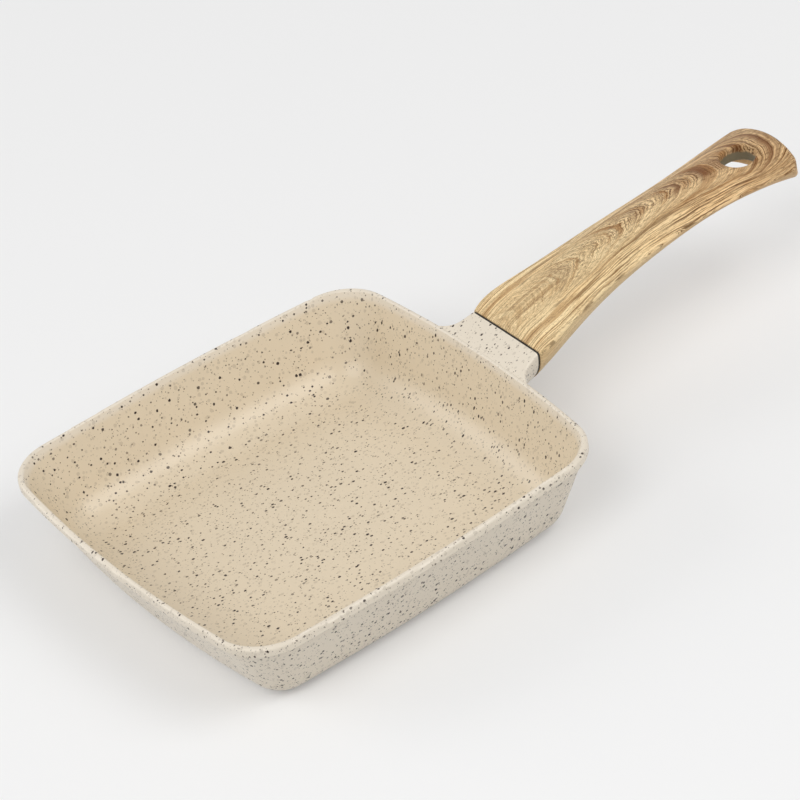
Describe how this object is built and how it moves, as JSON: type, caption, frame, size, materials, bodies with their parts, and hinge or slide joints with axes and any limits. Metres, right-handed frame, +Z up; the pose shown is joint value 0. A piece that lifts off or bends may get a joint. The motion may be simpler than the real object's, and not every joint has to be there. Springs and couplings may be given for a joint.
{
  "type": "tamagoyaki pan",
  "caption": "Rectangular rolled-omelette pan with flared coated walls, a short cast neck and a rising wood-look handle with a hanging hole.",
  "frame": {"origin": "centre of the pan's underside, on the surface that the pan stands on", "axes": "+X from the pan along the handle, +Z up, and +Y across the pan, which is symmetric about Y = 0"},
  "size_m": [0.3323, 0.1798, 0.0606],
  "materials": {
    "coated_aluminium": "matte",
    "base_steel": "satin",
    "black_silicone": "matte",
    "wood_print_plastic": "satin",
    "fastener_steel": "satin"
  },
  "bodies": {
    "root": {"pan_body": "coated_aluminium", "induction_plate": "base_steel", "neck_gasket": "black_silicone", "handle_grip": "wood_print_plastic", "handle_screw": "fastener_steel", "spring_washer": "fastener_steel", "flat_washer": "fastener_steel"}
  },
  "joints": []
}
